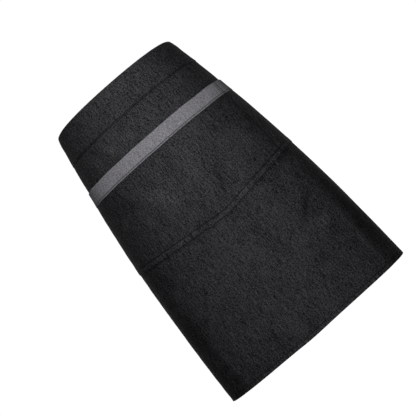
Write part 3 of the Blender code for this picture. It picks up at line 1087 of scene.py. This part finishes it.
def cloth_material(name, colour, streak, fleck, grain, fade, pitch, lean, bump, spread):
    """Woven cloth: streaks along the warp, flecks along the weft, fine grain, and a slow fading.

    spread is how evenly it returns light that falls on it aslant.
    """
    made, tree, shader = new_material(name)
    uv = node(tree, "ShaderNodeUVMap", uv_map="cloth")
    vector = uv.outputs["UV"]
    long_streak = noise(tree, vector, 0.0016, 0.022, detail=2, twist=3.1)
    short_streak = noise(tree, vector, 0.0011, 0.0060, detail=1, twist=7.7)
    flecks = noise(tree, vector, 0.0042, 0.0014, detail=1, twist=1.3)
    speckle = noise(tree, vector, 0.0020, 0.0022, detail=2, rough=0.6, twist=5.9)
    slow = noise(tree, vector, 0.050, 0.080, detail=3, twist=9.2)
    tone = node(tree, "ShaderNodeAttribute", attribute_name="tone")
    streaks = [(long_streak, streak), (short_streak, streak * 0.8)]
    factor = sum_of(tree, [*streaks, (flecks, fleck), (speckle, grain), (slow, fade)], 1.0)
    height = weave(tree, vector, pitch, pitch * 1.1, lean)
    factor = math_node(tree, "MULTIPLY_ADD", height, 0.10, factor)
    factor = math_node(tree, "MAXIMUM", factor, 0.12)
    # the tone attribute brings in the painted shade and light of grooves, creases and edges, and the wear
    factor = math_node(tree, "MULTIPLY", factor, tone.outputs["Fac"])
    colour_by(tree, shader, colour, factor)
    rough = math_node(tree, "MULTIPLY_ADD", speckle, 0.12, 0.82)
    join(tree, rough, shader.inputs["Roughness"])
    lumps = sum_of(tree, [(short_streak, 0.9), (flecks, 0.7), (speckle, 1.1)], 0.0)
    lumps = math_node(tree, "MULTIPLY_ADD", height, 0.35, lumps)
    relief_node = node(tree, "ShaderNodeBump")
    relief_node.inputs["Strength"].default_value = 1.0
    relief_node.inputs["Distance"].default_value = bump
    join(tree, lumps, relief_node.inputs["Height"])
    join(tree, relief_node.outputs["Normal"], shader.inputs["Normal"])
    shader.inputs["Metallic"].default_value = 0.0
    shader.inputs["Specular IOR Level"].default_value = 0.06
    shader.inputs["Diffuse Roughness"].default_value = spread
    return made


def thread_material(name, colour):
    """Twisted sewing thread."""
    made, tree, shader = new_material(name)
    uv = node(tree, "ShaderNodeUVMap", uv_map="cloth")
    plies = noise(tree, uv.outputs["UV"], 0.0004, 0.0004, detail=1)
    colour_by(tree, shader, colour, sum_of(tree, [(plies, 0.8)], 1.0))
    shader.inputs["Roughness"].default_value = 0.6
    shader.inputs["Specular IOR Level"].default_value = 0.3
    return made


# Camera, light and surroundings

PICTURE_PIXELS = 416
SENSOR = 36  # millimetres
FOCAL_PIXELS = 1313
FLOOR_DOWN = -2.5
GLOW = 1.03


def build_camera():
    """The photograph's view: level with the hips, with the apron's own upright turned to the upper left."""
    roll = math.radians(41.17)
    eye = Vector((-0.0118, -2.368, -0.3122))
    aim = Vector((-0.0118, -0.118, -0.2467))
    data = bpy.data.cameras.new("camera")
    data.sensor_width = SENSOR
    data.lens = SENSOR * FOCAL_PIXELS / PICTURE_PIXELS
    data.clip_start = 0.01
    data.clip_end = 100
    camera = add_object("camera", data)
    ahead = (aim - eye).normalized()
    right = ahead.cross(Vector((0, 0, 1))).normalized()
    up = right.cross(ahead)
    rolled_up = up * math.cos(roll) + right * math.sin(roll)
    rolled_right = right * math.cos(roll) - up * math.sin(roll)
    frame = Matrix((rolled_right, rolled_up, -ahead)).transposed().to_4x4()
    camera.matrix_world = Matrix.Translation(eye) @ frame
    bpy.context.scene.camera = camera


def area_light(name, place_at, aim, size, power):
    data = bpy.data.lights.new(name, "AREA")
    data.shape = "RECTANGLE"
    data.size = size[0]
    data.size_y = size[1]
    data.energy = power
    made = add_object(name, data)
    made.location = place_at
    made.visible_camera = False
    made.rotation_mode = "QUATERNION"
    made.rotation_quaternion = (Vector(aim) - Vector(place_at)).to_track_quat("-Z", "Y")


def glowing(name, reflect):
    """A surface that glows white, so that it stays even."""
    made, _, shader = new_material(name)
    shader.inputs["Base Color"].default_value = (reflect, reflect, reflect, 1)
    shader.inputs["Roughness"].default_value = 0.9
    shader.inputs["Specular IOR Level"].default_value = 0.0
    shader.inputs["Emission Color"].default_value = (1, 1, 1, 1)
    shader.inputs["Emission Strength"].default_value = GLOW
    return made


def build_studio():
    """A white floor and backdrop that throw no light on the apron, soft front lights and three behind."""
    scene = bpy.context.scene
    scene.view_settings.view_transform = "Standard"
    world = bpy.data.worlds.new("studio")
    scene.world = world
    world.use_nodes = True
    background = world.node_tree.nodes["Background"]
    background.inputs["Color"].default_value = (1, 1, 1, 1)
    background.inputs["Strength"].default_value = 0.12
    bpy.ops.mesh.primitive_circle_add(vertices=96, radius=14, fill_type="NGON", location=(0, 0, FLOOR_DOWN))
    floor = bpy.context.object
    floor.name = "floor"
    floor.data.materials.append(glowing("floor", reflect=0.8))
    bpy.ops.mesh.primitive_uv_sphere_add(segments=48, ring_count=24, radius=15)
    backdrop = bpy.context.object
    backdrop.name = "backdrop"
    backdrop.data.materials.append(glowing("backdrop", reflect=0.0))
    for surround in (floor, backdrop):
        surround.visible_diffuse = False
        surround.visible_glossy = False
        surround.visible_shadow = False
        surround.visible_transmission = False
    area_light("upper_strip", (0.005, -0.40, 0.10), (0.005, 0, 0.10), (0.06, 0.50), 1.02)
    area_light("lower_strip", (0.016, -0.40, -0.40), (0.016, 0, -0.40), (0.14, 0.50), 0.62)
    area_light("back", (0, 1.30, 0.10), (0, 0, -0.25), (0.60, 0.60), 12.0)
    area_light("left_rear", (-0.95, 0.95, -0.10), (0, 0, -0.25), (0.50, 0.90), 4.4)
    area_light("right_rear", (0.95, 0.95, -0.10), (0, 0, -0.25), (0.50, 0.90), 4.4)


def main():
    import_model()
    build_camera()
    build_studio()
    denim = cloth_material(
        "heathered_denim", (0.030, 0.030, 0.0325), streak=2.6, fleck=1.8, grain=4.4, fade=0.7,
        pitch=0.0009, lean=0.6, bump=0.00010, spread=0.0,
    )
    grey = cloth_material(
        "grey_chambray", (0.228, 0.224, 0.242), streak=0.8, fleck=0.9, grain=1.7, fade=0.3,
        pitch=0.0008, lean=0.0, bump=0.00007, spread=1.0,
    )
    thread = thread_material("thread", (0.010, 0.010, 0.012))
    pieces = {
        "skirt_panel": skirt(denim),
        "waistband": waistband(denim),
        "pocket": pocket(denim),
        "contrast_band": band(grey),
        "tie_left": tie("tie_left_cloth", -1, denim),
        "tie_right": tie("tie_right_cloth", 1, denim),
        "tie_knot": knot(denim),
    }
    sewn = sew(thread)
    for cad_node, piece in pieces.items():
        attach(piece, "root")
        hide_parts(cad_node)
    for piece in sewn.values():
        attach(piece, "root")


main()
